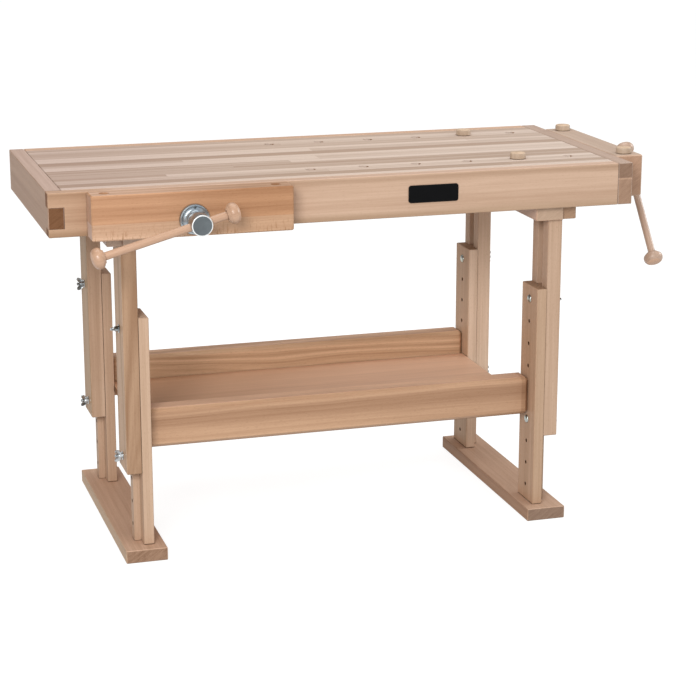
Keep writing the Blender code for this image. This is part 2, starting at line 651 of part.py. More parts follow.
def make_vises():
    front = Vector((FRONT_SCREW_X, -HALF_DEPTH, SCREW_Z))
    make_vise("front_vise", Vector((0, -1, 0)), Vector((1, 0, 0)), front, APRON_THICK,
              (FRONT_JAW_LENGTH, FRONT_JAW_THICK), (FRONT_BAR_REACH, FRONT_BAR_GAP, FRONT_BAR_TURN))
    end = Vector((HALF_LENGTH, END_SHIFT, SCREW_Z))
    make_vise("end_vise", Vector((1, 0, 0)), Vector((0, 1, 0)), end, END_THICK,
              (END_JAW_LENGTH, END_JAW_THICK), (END_BAR_REACH, END_BAR_GAP, END_BAR_TURN))


def make_dogs():
    jaw = bpy.data.objects["end_vise_slide"]
    for row, y in DOG_ROWS.items():
        make_dog(f"top_{row}_dog", TOP, (DOG_X[DOG_FILLED], y, TOP_HEIGHT))
        jaw_place = Vector((HALF_LENGTH + CONTACT + END_JAW_THICK / 2, y, TOP_HEIGHT))
        make_dog(f"jaw_{row}_dog", jaw, jaw_place - parent_place(jaw))


make_top()
for trestle in SIDES:
    make_trestle(trestle)
make_shelf()
make_vises()
make_dogs()
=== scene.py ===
"""Looks of the height-adjustable joiner's bench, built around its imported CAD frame.

Metres, +Z up, the bench's front towards -Y. Materials come first, then the pieces that stand for CAD
nodes with finer detail, then the studio and the camera.
"""

import json
import math
from collections import namedtuple

import bmesh
import bpy
from mathutils import Matrix, Vector


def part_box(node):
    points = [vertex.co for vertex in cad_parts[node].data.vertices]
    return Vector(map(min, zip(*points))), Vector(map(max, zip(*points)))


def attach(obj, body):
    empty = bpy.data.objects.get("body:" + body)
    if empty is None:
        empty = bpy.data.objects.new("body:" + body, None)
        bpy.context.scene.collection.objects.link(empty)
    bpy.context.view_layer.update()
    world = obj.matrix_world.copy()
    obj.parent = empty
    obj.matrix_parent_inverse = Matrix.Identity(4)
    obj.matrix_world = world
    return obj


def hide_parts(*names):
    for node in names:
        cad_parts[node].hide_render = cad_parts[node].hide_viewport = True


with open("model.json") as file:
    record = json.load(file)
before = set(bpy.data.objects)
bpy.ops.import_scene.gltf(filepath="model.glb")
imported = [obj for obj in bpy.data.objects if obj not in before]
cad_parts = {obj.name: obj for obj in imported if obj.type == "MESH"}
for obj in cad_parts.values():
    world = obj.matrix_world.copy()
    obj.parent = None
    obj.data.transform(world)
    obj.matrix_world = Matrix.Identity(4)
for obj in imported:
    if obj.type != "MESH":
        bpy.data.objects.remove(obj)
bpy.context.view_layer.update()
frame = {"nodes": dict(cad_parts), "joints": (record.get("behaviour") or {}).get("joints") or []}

NODES = frame["nodes"]
JOINTS = {joint["name"]: joint for joint in frame["joints"]}
SCENE = bpy.context.scene
VISES = ("front", "end")
LEVELS = ("upper", "lower")
POSTS = [f"{side}_{row}" for side in ("left", "right") for row in ("front", "back")]
BOLTS = [f"{post}_{level}" for post in POSTS for level in LEVELS]
DOGS = ("top_front_dog", "top_back_dog", "jaw_front_dog", "jaw_back_dog")
AXIS_X = Vector((1, 0, 0))
AXIS_Z = Vector((0, 0, 1))
SQUARE = math.radians(90)

# Sizes of the turned and threaded pieces, the same as in the CAD
CONTACT = 0.0003
SCREW_DIA = 0.026
SCREW_PITCH = 0.006
FLANGE_DIA = 0.069
FLANGE_THICK = 0.007
FLANGE_HUB_DIA = 0.042
FLANGE_HUB = 0.016
HEAD_DIA = 0.048
HEAD_LENGTH = 0.044
NECK_DIA = 0.034
BAR_DIA = 0.018
BAR_SPAN = 0.311
KNOB_DIA = 0.048
KNOB_LENGTH = 0.032
KNOB_CUT = 55.0
BOLT_DIA = 0.008
BOLT_HEAD_DIA = 0.020
BOLT_HEAD_HEIGHT = 0.005
BOLT_TAIL = 0.020
HOLE_PITCH = 0.0565
SETTINGS = 4
NUT_HUB_DIA = 0.015
NUT_HUB_HEIGHT = 0.011
WING_SPAN = 0.032
WING_LENGTH = 0.019
WING_WIDTH = 0.011
WING_THICK = 0.003
WING_RISE = 0.011
WING_LEAN = 37.0
DOG_HEAD_DIA = 0.038
DOG_HEAD_HEIGHT = 0.015
DOG_SHANK_DIA = 0.0234
DOG_LENGTH = 0.070

# Finer detail than the CAD has. Points are (radius, height) steps from the edge named beside them.
THREAD_OUTLINE = ((0.0, 0), (0.28, 1), (0.55, 1), (0.83, 0))  # share of the pitch, root 0 or crest 1
SCREW_THREAD = 0.0024
BOLT_THREAD = 0.0007
BOLT_PITCH = 0.00125
WELD = 1e-6
SHARP = 35.0
VISE_SIDES = 64
BAR_SIDES = 56
BORE_SIDES = 48
DOG_SIDES = 48
BOLT_SIDES = 32
NUT_SIDES = 28
THREAD_SIDES = 20
BOLT_THREAD_SIDES = 14
WOOD_SCREW_SIDES = 20

HUB_EDGE = ((-0.0045, 0.0), (-0.0028, -0.0012))  # hub's top
HUB_FILLET = ((-0.002, 0.005), (0.0005, 0.0022), (0.003, 0.0004))  # hub on the plate's face
RIM_GROOVE = ((-0.0062, 0.0002), (-0.0055, -0.0009), (-0.0046, -0.0009), (-0.004, 0.0),
              (-0.0012, -0.0005), (0.0, -0.0025))  # rim on the plate's face
WOOD_SCREWS = 3
WOOD_SCREW_RING = 0.0275
WOOD_SCREW = ((0, 0.0008), (0.0022, 0.0007), (0.0038, 0.0002), (0.0043, -0.0006), (0.0043, -0.002),
              (0, -0.002))  # its axis on the plate's face
# Dark bars laid across a wood screw's head: painted shade standing in for its cross slots
SLOT_SHADE_BARS = (0.0046, 0.0011, 0.0005)
SLOT_SHADE_RISE = 0.0007

HEAD_RING = ((-0.0028, -0.0010), (-0.0024, -0.0001), (-0.0016, 0.0), (-0.0004, -0.0009),
             (0.0, -0.0022))  # head's face
DISH_DEPTH = 0.0012
DISH_INSET = 0.0036
SHOULDER_LAND = 0.006
SHOULDER_WIDTH = 0.004
SHOULDER_DEPTH = 0.005
NECK_FLARE = ((0.0006, -0.002), (0.0, -0.006))  # neck under the head
STEM_END = -0.004
THREAD_START = -0.006

KNOB_FULL = 0.82
KNOB_TURN = 52.0
KNOB_STEP = 0.0012
KNOB_LIP = 0.0004
KNOB_SOCKET = 0.0012
KNOB_BORE = ((0.0016, -0.0002), (0.0008, KNOB_SOCKET))  # bar on the knob's flat
KNOB_SHARP = 50.0
BAR_INSET = 0.001

WASHER_THICK = 0.0014
WASHER_REACH = 0.0026
WASHER_EDGE = 0.0004
NUT_EDGE = ((-0.0026, 0.0), (-0.0018, -0.0006))  # hub's top
NUT_FOOT = 0.0006
NUT_FOOT_RISE = 0.001
NUT_THREADS_HIDDEN = 2.5
STUD_END = -0.0178
WING_SECTION = ((0, 0.75), (0.72, 0.75), (0.86, 1.0), (0.96, 0.7), (1.0, 0))  # shares of half its size

DOG_EDGE = ((-0.003, 0.0), (-0.0014, -0.0006), (-0.0004, -0.0018), (0.0, -0.0034))  # head's top
DOG_EASE = 0.001
DOG_TIP = 0.003

PLATE_INSET = 0.0010
PLATE_CORNER = 0.0050
PLATE_LIP = 0.0011
PLATE_LIP_RISE = 0.0002
PLATE_LIP_ROOT = 0.0001


# Materials

def srgb(red, green, blue):
    """A linear colour from the 0 to 255 values of a screen colour."""
    def linear(value):
        value /= 255
        return value / 12.92 if value <= 0.04045 else ((value + 0.055) / 1.055) ** 2.4
    return (linear(red), linear(green), linear(blue), 1.0)


def shade(colour, *factors):
    """A colour times one factor, or one factor for each channel."""
    factors = factors * 3 if len(factors) == 1 else factors
    return tuple(min(1.0, value * factor) for value, factor in zip(colour, factors)) + (1.0,)


class Graph:
    """A material's node tree, with short ways to add to it."""

    def __init__(self, name):
        self.material = bpy.data.materials.new(name)
        self.material.use_nodes = True
        self.tree = self.material.node_tree
        self.shader = self.tree.nodes["Principled BSDF"]

    def put(self, socket, value):
        if isinstance(value, bpy.types.NodeSocket):
            self.tree.links.new(value, socket)
        else:
            socket.default_value = value

    def add(self, kind, inputs=(), **settings):
        node = self.tree.nodes.new("ShaderNode" + kind)
        for name, value in settings.items():
            setattr(node, name, value)
        for name, value in dict(inputs).items():
            self.put(node.inputs[name], value)
        return node

    def math(self, operation, first, second=0.0, third=0.0):
        node = self.add("Math", operation=operation)
        for socket, value in zip(node.inputs, (first, second, third)):
            self.put(socket, value)
        return node.outputs[0]

    def vector(self, operation, first, second=(0, 0, 0), output="Vector"):
        node = self.add("VectorMath", operation=operation)
        self.put(node.inputs[0], first)
        self.put(node.inputs[1], second)
        return node.outputs[output]

    def axes(self, vector):
        return self.add("SeparateXYZ", {"Vector": vector}).outputs

    def span(self, value, low, high, to_low=0.0, to_high=1.0):
        """The value's place between two limits, held inside the result's limits."""
        node = self.add("MapRange", {"Value": value, "From Min": low, "From Max": high,
                                     "To Min": to_low, "To Max": to_high})
        return node.outputs["Result"]

    def swing(self, value, gain, base):
        """The base, moved by how far a noise is from its middle."""
        return self.math("MULTIPLY_ADD", self.math("SUBTRACT", value, 0.5), gain, base)

    def mix(self, amount, first, second, blend="MIX"):
        node = self.add("Mix", data_type="RGBA", blend_type=blend)
        for index, value in ((0, amount), (6, first), (7, second)):
            self.put(node.inputs[index], value)
        return node.outputs[2]

    def noise(self, vector, stretch, detail=3.0, roughness=0.55, distortion=0.0):
        """Noise over a vector that is first stretched by a scale on each axis."""
        texture = self.add("TexNoise", {"Vector": self.vector("MULTIPLY", vector, stretch), "Scale": 1.0,
                                        "Detail": detail, "Roughness": roughness,
                                        "Distortion": distortion})
        return texture.outputs["Fac"]

    def finish(self, colour, roughness, gloss, bump):
        """Sets the shader. What is the same all over goes on the shader's own socket."""
        self.put(self.shader.inputs["Base Color"], colour)
        self.put(self.shader.inputs["Roughness"], roughness)
        if gloss is not None:
            self.shader.inputs["Specular IOR Level"].default_value = gloss
        self.put(self.shader.inputs["Normal"], bump.outputs[0])
        return self.material


# Beech: factors on a material's tone, also for a painted highlight and painted shade
DARK_BAND = (0.74, 0.68, 0.63)
LIGHT_BAND = (1.13, 1.16, 1.19)
RAY_TONE = (0.55, 0.47, 0.40)
GLUE_TONE = (0.55, 0.47, 0.42)
FLAKE_TONE = (0.68, 0.57, 0.46)
DARK_RING = (0.62, 0.56, 0.50)
LIGHT_RING = (1.26, 1.28, 1.30)
# paler edges: wear, and a painted highlight along them
WEAR_AND_SHEEN_TONE = (1.22, 1.27, 1.32)
# painted shade, with grime, in seams and bolt holes
SHADE_AND_GRIME_TONE = (0.16, 0.11, 0.08)

# Beech: noises, as scales along the grain and across it, detail, roughness and distortion
BANDS = ((0.9, 24, 24), 4.0, 0.55, 0.6)
FIBRES = ((7, 330, 330), 4.0, 0.65)
RAYS = ((120, 760, 760), 1.0, 0.4)
LINES = ((0.6, 95, 95), 2.0, 0.5, 0.3)
YEARS = ((4, 26, 190), 3.0, 0.55, 0.8)
PORES = ((300, 900, 420), 2.0, 0.6)
RING_WAVES = ((1.4, 5, 5), 2.0, 0.5)
WANDER = ((2.5, 9, 9), 2.0)
FLAKES = ((230, 230, 46), 2.0, 0.6)  # upright, whatever the grain
RUBBING = ((45, 45, 45), 2.0)
PITH_RINGS = {"Scale": 1.0, "Detail": 2.0, "Roughness": 0.6}

# Beech: strengths of the noises, and the limits between which they show
BAND_GAIN = 2.4
LINE_GAIN = 1.6
FIBRE_GAIN = 0.75
RAY_GAIN = 0.45
PORE_GAIN = 0.7
YEAR_GAIN = 2
FLAKE_MOST = 0.9
RING_WAVE = 0.04
RING_SLANT = math.radians(38)
RAY_LIMITS = (0.60, 0.68)
FLAKE_LIMITS = (0.56, 0.64)
WEAR_LIMITS = (0.35, 0.6)
EDGE_LIMITS = (0.985, 0.88)  # cosine between a face and its rounded edge
END_LIMITS = (0.72, 0.86)  # how far a face looks along the grain
SKY_LIMITS = (0.15, 0.75)  # how open a spot lies
EDGE_RADIUS = 0.0020
EDGE_SAMPLES = 4
SHADE_AND_GRIME = 0.75
SHADE_AND_GRIME_REACH = 0.005  # how near faces meet where painted shade and grime gather
SHADE_AND_GRIME_SAMPLES = 6
HOLE_SHADE_EDGE = 0.0054  # radius at which the painted shade round a hole ends
ROUGH_SPREAD = 0.16
END_ROUGHNESS = 0.18
RAY_RELIEF = -0.5
WOOD_BUMP = {"Strength": 0.16, "Distance": 0.0006}

# Beech: glued strips
STRIP_WAVE = 2.6  # strips in one wave of their width
STRIP_WAVE_DEPTH = 0.16
STAVE_SHIFT = 7.0
FIGURE_JUMP = (5.0, 0.37, 3.0)
GLUE_LINE = 0.0014
GLUE_DEPTH = 0.7
BUTT_LINE = 0.0009
BUTT_DEPTH = 0.45

TURN_TO_GRAIN = {"X": (0, 0, 0), "Y": (0, 0, -SQUARE), "Z": (0, SQUARE, 0)}
Patch = namedtuple("Patch", "axis low high softness factors")  # the factors multiply the colour


def wood(name, tone, end, grain="X", strips=None, pith=None, patches=(), flakes=None, bores=None,
         figure=0.5, streaks=0.5, fleck=0.5, rings=0.5, wear_and_sheen=0.4, grime=SHADE_AND_GRIME, roughness=0.42,
         gloss=0.28):
    """Oiled beech, with another tone on its end grain. The grain runs along an axis or a direction.

    strips is (width, stave length, tone spread) of glued strips side by side across the grain. pith is
    (point, direction, ring width) of the line that the growth rings lie around, where they show as
    arches. patches are stretches of an axis whose colour is multiplied: some give the wood another
    tone, and many are painted light and painted shade. flakes is the range of heights where the rays
    lie open as short upright flakes. bores are the places of bolts with a row of holes below them that
    is darkened as painted shade. figure, streaks, fleck, rings, worn and grime are the strengths of the
    broad bands, the thin lines, the rays, the end grain, the pale edges (wear, and a painted highlight)
    and the painted shade with grime where faces meet.
    """
    graph = Graph(name)
    places = graph.add("TexCoord").outputs
    where = places["Object"]
    place = graph.axes(where)
    if isinstance(grain, str):
        turn = TURN_TO_GRAIN[grain]
    else:
        turn = grain.rotation_difference(AXIS_X).to_euler()
    along = graph.add("Mapping", {"Vector": where, "Rotation": turn}).outputs[0]
    facing = graph.add("Mapping", {"Vector": places["Normal"], "Rotation": turn}, vector_type="VECTOR")
    end_face = graph.span(graph.math("ABSOLUTE", graph.axes(facing.outputs[0])[0]), *END_LIMITS)

    spot, strip_tone, seam = strip_nodes(graph, along, *strips) if strips else (along, 0.0, None)
    if pith:
        bands = ring_nodes(graph, where, along, *pith)
    else:
        bands = graph.noise(spot, *BANDS)
    fibre = graph.noise(spot, *FIBRES)
    rays = graph.span(graph.noise(spot, *RAYS), *RAY_LIMITS)
    lines = graph.noise(spot, *LINES)
    level = graph.swing(bands, figure * BAND_GAIN, 0.5)
    level = graph.swing(lines, streaks * LINE_GAIN, level)
    level = graph.swing(fibre, FIBRE_GAIN, level)
    level = graph.math("ADD", level, strip_tone)
    side = graph.mix(graph.span(level, 0.0, 1.0), shade(tone, *DARK_BAND), shade(tone, *LIGHT_BAND))
    side = graph.mix(graph.math("MULTIPLY", rays, fleck * RAY_GAIN), side, shade(tone, *RAY_TONE))
    if seam is not None:
        side = graph.mix(seam, side, shade(tone, *GLUE_TONE))
    if flakes:
        low, high = flakes
        opened = graph.span(graph.noise(where, *FLAKES), *FLAKE_LIMITS)
        opened = graph.math("MULTIPLY", opened, graph.span(place[2], high, low, 0.0, FLAKE_MOST))
        side = graph.mix(opened, side, shade(tone, *FLAKE_TONE))
    colour = graph.mix(end_face, side, end_nodes(graph, along, end, rings))
    if patches:
        colour = patch_nodes(graph, place, along, colour, patches)

    # Pale edges come from wear and a painted highlight; seams and bolt holes get painted shade with
    # grime.
    edge = graph.add("Bevel", {"Radius": EDGE_RADIUS}, samples=EDGE_SAMPLES).outputs[0]
    flat = graph.add("NewGeometry").outputs["True Normal"]
    bent = graph.span(graph.vector("DOT_PRODUCT", edge, flat, "Value"), *EDGE_LIMITS, 0.0, wear_and_sheen)
    rubbed = graph.span(graph.noise(where, *RUBBING), *WEAR_LIMITS)
    colour = graph.mix(graph.math("MULTIPLY", bent, rubbed), colour, shade(tone, *WEAR_AND_SHEEN_TONE))
    sky = graph.add("AmbientOcclusion", {"Distance": SHADE_AND_GRIME_REACH}, samples=SHADE_AND_GRIME_SAMPLES).outputs["AO"]
    shade_and_grime_mask = graph.span(sky, *SKY_LIMITS, grime, 0.0)
    if bores:
        shade_and_grime_mask = graph.math("MAXIMUM", shade_and_grime_mask, bore_shade_nodes(graph, place, bores))
    colour = graph.mix(shade_and_grime_mask, colour, shade(tone, *SHADE_AND_GRIME_TONE))

    rough = graph.math("MULTIPLY_ADD", fibre, ROUGH_SPREAD, roughness - ROUGH_SPREAD / 2)
    rough = graph.math("MULTIPLY_ADD", end_face, END_ROUGHNESS, rough)
    relief = graph.math("MULTIPLY_ADD", rays, RAY_RELIEF, fibre)
    bump = graph.add("Bump", {**WOOD_BUMP, "Height": relief, "Normal": edge})
    return graph.finish(colour, rough, gloss, bump)


def end_nodes(graph, along, end, rings):
    """Slanting growth rings and pores on the end grain."""
    slant = graph.add("Mapping", {"Vector": along, "Rotation": (RING_SLANT, 0, 0)}).outputs[0]
    years = graph.noise(slant, *YEARS)
    level = graph.swing(graph.noise(along, *PORES), PORE_GAIN, years)
    level = graph.swing(level, rings * YEAR_GAIN, 0.5)
    return graph.mix(graph.span(level, 0.0, 1.0), shade(end, *DARK_RING), shade(end, *LIGHT_RING))


def patch_nodes(graph, place, along, colour, patches):
    """The colour with each patch's factors inside it. The borders wander along the grain."""
    wander = graph.math("SUBTRACT", graph.noise(along, *WANDER), 0.5)
    for patch in patches:
        half = (patch.high - patch.low) / 2
        offset = graph.math("SUBTRACT", place["XYZ".index(patch.axis)], patch.low + half)
        offset = graph.math("MULTIPLY_ADD", wander, patch.softness, graph.math("ABSOLUTE", offset))
        inside = graph.span(offset, half + patch.softness, half - patch.softness)
        colour = graph.mix(inside, colour, graph.mix(1.0, colour, (*patch.factors, 1.0), "MULTIPLY"))
    return colour


def ring_nodes(graph, where, along, point, direction, width):
    """Growth rings around a pith line, wavy along their length."""
    direction = direction.normalized()
    offset = graph.vector("SUBTRACT", where, point)
    reach = graph.vector("DOT_PRODUCT", offset, direction, "Value")
    reach = graph.add("CombineXYZ", {"X": reach, "Y": reach, "Z": reach}).outputs[0]
    foot = graph.vector("MULTIPLY", reach, direction)
    radius = graph.vector("LENGTH", graph.vector("SUBTRACT", offset, foot), output="Value")
    wave = graph.noise(along, *RING_WAVES)
    radius = graph.math("MULTIPLY_ADD", wave, RING_WAVE, radius)
    rings = graph.add("TexNoise", {"W": graph.math("DIVIDE", radius, width), **PITH_RINGS},
                      noise_dimensions="1D")
    return rings.outputs["Fac"]


def bore_shade_nodes(graph, place, bores):
    """Painted shade: one in the holes along X that lie in a row down from each bolt, and nothing around
    them.
    """
    inside = 0.0
    for _, y, z in bores:
        steps = graph.math("DIVIDE", graph.math("SUBTRACT", z, place[2]), HOLE_PITCH)
        nearest = graph.math("MAXIMUM", graph.math("ROUND", steps), 0.0)
        nearest = graph.math("MINIMUM", nearest, SETTINGS - 1)
        rise = graph.math("MULTIPLY", graph.math("SUBTRACT", steps, nearest), HOLE_PITCH)
        offset = graph.add("CombineXYZ", {"Y": graph.math("SUBTRACT", place[1], y), "Z": rise})
        radius = graph.vector("LENGTH", offset.outputs[0], output="Value")
        hole_shade = graph.span(radius, HOLE_SHADE_EDGE, BOLT_DIA / 2 + CONTACT)
        inside = graph.math("MAXIMUM", inside, hole_shade)
    return inside


def strip_nodes(graph, along, width, stave, spread):
    """The figure's place moved from strip to strip, each stave's tone, and the fine glue lines."""
    place = graph.axes(along)
    wave = graph.math("SINE", graph.math("MULTIPLY", place[1], 2 * math.pi / (STRIP_WAVE * width)))
    across = graph.math("MULTIPLY_ADD", wave, STRIP_WAVE_DEPTH, graph.math("DIVIDE", place[1], width))
    row = graph.math("FLOOR", across)
    shift = graph.add("TexWhiteNoise", {"W": row}, noise_dimensions="1D").outputs["Value"]
    length = graph.math("ADD", graph.math("DIVIDE", place[0], stave),
                        graph.math("MULTIPLY", shift, STAVE_SHIFT))
    pair = graph.add("CombineXYZ", {"X": row, "Y": graph.math("FLOOR", length)}).outputs[0]
    chance = graph.add("TexWhiteNoise", {"Vector": pair}, noise_dimensions="2D").outputs["Value"]
    jump = graph.add("CombineXYZ", {
        axis: graph.math("MULTIPLY", value, step)
        for axis, value, step in zip("XYZ", (chance, row, chance), FIGURE_JUMP)}).outputs[0]
    tone = graph.math("MULTIPLY", graph.math("SUBTRACT", chance, 0.5), spread)

    def border(share, line, depth):
        middle = graph.math("ABSOLUTE", graph.math("SUBTRACT", graph.math("FRACT", share), 0.5))
        return graph.span(middle, 0.5 - line, 0.5, 0.0, depth)

    seam = graph.math("MAXIMUM", border(across, GLUE_LINE / width, GLUE_DEPTH),
                      border(length, BUTT_LINE / stave, BUTT_DEPTH))
    return graph.vector("ADD", along, jump), tone, seam


# Metal and paint
CLOUDS = ((90, 90, 90), 4.0, 0.6)
CLOUD_LIMITS = (0.3, 0.7)
SCRATCHES = ((900, 900, 900), 2.0, 0.6)
STAINS = ((38, 38, 38), 2.0)
STAIN_LIMITS = (0.45, 0.65)
METAL_BUMP = {"Strength": 0.08, "Distance": 0.0002}
PEEL = ((700, 700, 700), 2.0)
PAINT_CLOUDS = ((60, 60, 60), 3.0)
PAINT_DARK = 0.7
PAINT_LIGHT = 1.4
PAINT_ROUGH_SPREAD = 0.12
PAINT_GLOSS = 0.06
PAINT_BUMP = {"Strength": 0.05, "Distance": 0.0002}


def metal(name, colour, roughness, mottle, tint=None):
    """Plated steel with cloudy plating, fine turning marks and a faint tint."""
    graph = Graph(name)
    where = graph.add("TexCoord").outputs["Object"]
    cloud = graph.span(graph.noise(where, *CLOUDS), *CLOUD_LIMITS)
    scratch = graph.noise(where, *SCRATCHES)
    colours = graph.mix(cloud, shade(colour, 1 - mottle), shade(colour, 1 + mottle))
    if tint:
        stain = graph.span(graph.noise(where, *STAINS), *STAIN_LIMITS)
        colours = graph.mix(stain, colours, tint)
    rough = graph.math("MULTIPLY_ADD", scratch, ROUGH_SPREAD, roughness - ROUGH_SPREAD / 2)
    graph.shader.inputs["Metallic"].default_value = 1.0
    return graph.finish(colours, rough, None, graph.add("Bump", {**METAL_BUMP, "Height": scratch}))


def enamel(name, colour, roughness):
    """Satin paint with a faint orange-peel grain."""
    graph = Graph(name)
    where = graph.add("TexCoord").outputs["Object"]
    peel = graph.noise(where, *PEEL)
    cloud = graph.noise(where, *PAINT_CLOUDS)
    colours = graph.mix(cloud, shade(colour, PAINT_DARK), shade(colour, PAINT_LIGHT))
    rough = graph.math("MULTIPLY_ADD", peel, PAINT_ROUGH_SPREAD, roughness - PAINT_ROUGH_SPREAD / 2)
    return graph.finish(colours, rough, PAINT_GLOSS, graph.add("Bump", {**PAINT_BUMP, "Height": peel}))


# The bench's materials
HAIRLINE = 0.0004  # softness of a glue line
SKIN = 0.001  # depth of a patch that colours one face only
FAR = 2.0  # beyond the bench
LAMINATION = 0.037  # height of the front jaw's lower strip
BATTEN = 0.036  # width of the strip along a head rail
MATT = 0.04  # gloss
SATIN = 0.55  # roughness
END_GRAIN = srgb(150, 112, 86)
# End grain darkened as painted shade, for the tops of the right lower posts
SHADED_END_GRAIN = srgb(172, 142, 118)
PALE_END = srgb(222, 194, 170)
BAR_AXES = {vise: Vector(JOINTS[vise + "_handle_slide"]["axis"]) for vise in VISES}
APRON_LOW, APRON_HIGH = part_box("front_apron")
FRONT_JAW_LOW, FRONT_JAW_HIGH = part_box("front_vise_jaw")
STRETCHER_LOW, STRETCHER_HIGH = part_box("front_stretcher")
BACK_STRETCHER_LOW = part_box("back_stretcher")[0]
ARCHED_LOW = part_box("left_front_upper_post")[0]
SHELF_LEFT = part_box("shelf")[0].x
CAP_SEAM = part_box("top_slab")[0].z
JAW_SEAM = FRONT_JAW_LOW.z + LAMINATION
LEFT_RAIL_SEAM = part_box("left_head_rail")[0].x + BATTEN
RIGHT_RAIL_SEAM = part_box("right_head_rail")[1].x - BATTEN


def painted_left_lighting(node, *factors):
    """Painted light and shade on a node's faces that look left: factors that stand in for how light
    falls there.
    """
    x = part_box(node)[0].x
    return Patch("X", x - SKIN, x + SKIN, SKIN / 2, factors)


def painted_top_lighting(node, *factors):
    """Painted light and sheen on a node's faces that look up, standing in for how light falls there."""
    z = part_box(node)[1].z
    return Patch("Z", z - HAIRLINE, z + HAIRLINE, HAIRLINE / 2, factors)


def bolts_of(post):
    """The places of a post's two bolts."""
    return [JOINTS[f"{post}_{level}_nut_turn"]["pos_m"] for level in LEVELS]


def post_wood(name, tone, figure, end=PALE_END, **more):
    """Matt beech with upright grain."""
    return wood(name, tone, end, "Z", figure=figure, gloss=MATT, **more)


# The slab is lighter and whiter towards its right end, a painted sheen, and darker towards its left end.
SLAB = wood(
    "beech_slab", srgb(194, 173, 157), END_GRAIN, strips=(0.036, 2.1, 1.7), figure=0.35, streaks=0.8,
    fleck=0.3, roughness=0.62, gloss=0.12,
    patches=(Patch("X", 0.25, FAR, 0.35, (1.04, 1.07, 1.10)),
             Patch("X", -FAR, -0.45, 0.25, (0.92, 0.89, 0.91))))
# The shelf's left part is darker: painted shade.
SHELF = wood(
    "beech_shelf", srgb(232, 190, 160), END_GRAIN, figure=0.35, streaks=0.15, fleck=0.2,
    patches=(Patch("X", -FAR, SHELF_LEFT + 0.36, 0.30, (0.76, 0.69, 0.60)),))
APRON = wood(
    "beech_apron", srgb(198, 167, 143), END_GRAIN, figure=0.42, fleck=0.35, roughness=SATIN, gloss=0.15,
    patches=(Patch("X", -FAR, FRONT_JAW_LOW.x + 0.05, 0.02, (0.88, 0.82, 0.75)),
             Patch("Z", APRON_HIGH.z - 0.014, APRON_HIGH.z - 0.002, 0.004, (0.80, 0.77, 0.73)),
             Patch("Z", -FAR, APRON_LOW.z + 0.014, 0.006, (0.79, 0.77, 0.72)),
             painted_top_lighting("front_apron", 1.12, 1.15, 1.23)))
BACK_RAIL = wood("beech_back_rail", srgb(204, 170, 145), END_GRAIN, roughness=SATIN, gloss=0.15)
LEFT_CAP = wood(
    "beech_left_cap", srgb(191, 166, 152), srgb(119, 84, 59), "Y", figure=0.35, gloss=MATT,
    patches=(painted_left_lighting("left_end_cap", 0.89, 0.78, 0.65),))
# The light strip just under the seam is a painted highlight, standing in for the top of a small ledge.
RIGHT_CAP = wood(
    "beech_right_cap", srgb(186, 162, 146), srgb(163, 132, 110), "Y", figure=0.35, roughness=SATIN,
    gloss=0.2,
    patches=(Patch("Z", CAP_SEAM, APRON_HIGH.z - HAIRLINE, HAIRLINE, (0.75, 0.74, 0.74)),
             Patch("Z", CAP_SEAM - 0.004, CAP_SEAM, HAIRLINE, (1.28, 1.30, 1.32))))
# The jaw darkens towards its right end: painted shadow of the vise's handle and knob.
FRONT_JAW = wood(
    "beech_front_jaw", srgb(190, 145, 111), srgb(194, 158, 135), figure=1.0, streaks=0.9, rings=0.3,
    flakes=(FRONT_JAW_LOW.z, JAW_SEAM), roughness=SATIN, gloss=0.15,
    patches=(Patch("Z", -FAR, JAW_SEAM, HAIRLINE, (1.14, 1.32, 1.54)),
             Patch("X", FRONT_JAW_HIGH.x - 0.20, FAR, 0.10, (0.86, 0.82, 0.76)),
             painted_top_lighting("front_vise_jaw", 1.07, 1.25, 1.54)))
END_JAW = wood(
    "beech_end_jaw", srgb(200, 170, 147), srgb(179, 144, 120), "Y", figure=0.4, roughness=SATIN,
    gloss=0.2, patches=(painted_top_lighting("end_vise_jaw", 0.91, 0.99, 1.07),))

PALE_POST = post_wood("beech_pale_post", srgb(197, 167, 142), 0.5, bores=bolts_of("left_front"))
ARCHED_POST = post_wood(
    "beech_arched_post", srgb(168, 135, 108), 1.0,
    pith=(ARCHED_LOW + Vector((0.030, 0.050, 0)), Vector((0, 0.04, 1)), 0.012),
    patches=(painted_left_lighting("left_front_upper_post", 1.48, 1.57, 1.64),))
LEFT_BACK_POST = post_wood(  # its left face is level with the front post's
    "beech_left_back_post", srgb(194, 163, 138), 0.7,
    patches=(painted_left_lighting("left_front_upper_post", 0.99, 0.97, 0.86),))
LEFT_BACK_FOOT_POST = post_wood(
    "beech_left_back_foot_post", srgb(194, 163, 138), 0.7, bores=bolts_of("left_back"))
GREY_POST = post_wood(
    "beech_grey_post", srgb(191, 161, 137), 0.5,
    patches=(painted_left_lighting("right_front_upper_post", 1.03, 1.01, 1.0),))
TAN_POST = post_wood(
    "beech_tan_post", srgb(189, 159, 133), 0.8, SHADED_END_GRAIN, bores=bolts_of("right_front"), grime=0.4,
    patches=(painted_left_lighting("right_front_lower_post", 1.08, 1.03, 1.01),))
BRIGHT_LOWER_POST = post_wood(
    "beech_bright_lower_post", srgb(212, 184, 160), 0.5, SHADED_END_GRAIN, bores=bolts_of("right_back"),
    patches=(painted_left_lighting("right_back_lower_post", 0.95, 0.91, 0.85),))
BRIGHT_UPPER_POST = post_wood(
    "beech_bright_upper_post", srgb(212, 184, 160), 0.5,
    patches=(painted_left_lighting("right_back_upper_post", 1.04, 1.03, 1.02),))
LEFT_FOOT = wood(
    "beech_left_foot", srgb(205, 170, 145), srgb(153, 122, 100), "Y", figure=0.4, rings=0.7, gloss=MATT,
    patches=(painted_left_lighting("left_foot", 0.95, 0.99, 0.91),))
